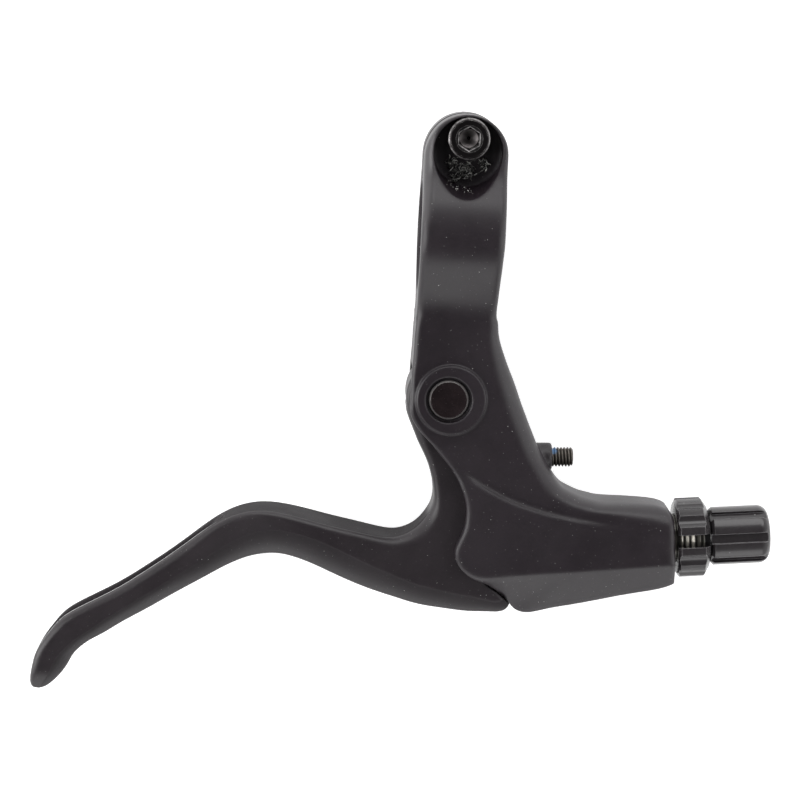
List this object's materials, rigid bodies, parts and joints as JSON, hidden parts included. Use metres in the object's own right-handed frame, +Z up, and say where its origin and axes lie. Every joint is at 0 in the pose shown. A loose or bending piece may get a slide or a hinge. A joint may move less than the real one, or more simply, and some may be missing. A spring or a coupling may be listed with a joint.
{
  "type": "bicycle brake lever",
  "caption": "Bicycle brake lever with a split handlebar clamp, a bent finger blade on a pivot, a slotted barrel adjuster with lock ring, and a reach screw.",
  "frame": {"origin": "centre of the handlebar clamp's bore, on the lever's middle plane", "axes": "+X along the handlebar towards the cable adjuster, +Y towards the rider and the clamp bolt, +Z up out of the flat side"},
  "size_m": [0.15, 0.1217, 0.0304],
  "materials": {
    "body_paint": "matte black coat on cast aluminium",
    "blade_paint": "matte black coat on forged aluminium",
    "pin_steel": "black steel with a bright chamfer",
    "black_steel": "black oxide",
    "bush": "bearing plastic",
    "spring_steel": "drawn wire",
    "bolt_steel": "black oxide, worn bright at the rim",
    "adjuster_black": "glossy black anodised",
    "screw_steel": "black oxide thread with a blue dab of thread locker"
  },
  "bodies": {
    "body": {"lever_body": "body_paint", "clamp_bolt": "bolt_steel", "pivot_pin": "pin_steel", "pivot_screw": "black_steel", "return_spring": "spring_steel"},
    "blade": {"lever_blade": "blade_paint", "upper_bush": "bush", "lower_bush": "bush"},
    "adjuster": {"barrel_adjuster": "adjuster_black"},
    "ring": {"lock_ring": "adjuster_black"},
    "reach": {"reach_screw": "screw_steel"}
  },
  "joints": [
    {"name": "lever_pull", "type": "hinge", "parent": "body", "child": "blade", "pos_m": [-0.0011, -0.03215, 0], "axis": [0, 0, -1], "range_deg": [0, 28], "stiffness_Nm_per_rad": 0.12, "springref_deg": -28.65, "deforming": ["return_spring"]},
    {"name": "adjuster_slide", "type": "slide", "parent": "body", "child": "adjuster", "axis": [0.9954, 0.0958, 0], "range_m": [0, 0.008]},
    {"name": "ring_turn", "type": "hinge", "parent": "body", "child": "ring", "pos_m": [0.04856, -0.05957, 0], "axis": [0.9954, 0.0958, 0], "continuous": true},
    {"name": "reach_slide", "type": "slide", "parent": "body", "child": "reach", "axis": [0.999, 0.0454, 0], "range_m": [0, 0.003]}
  ]
}
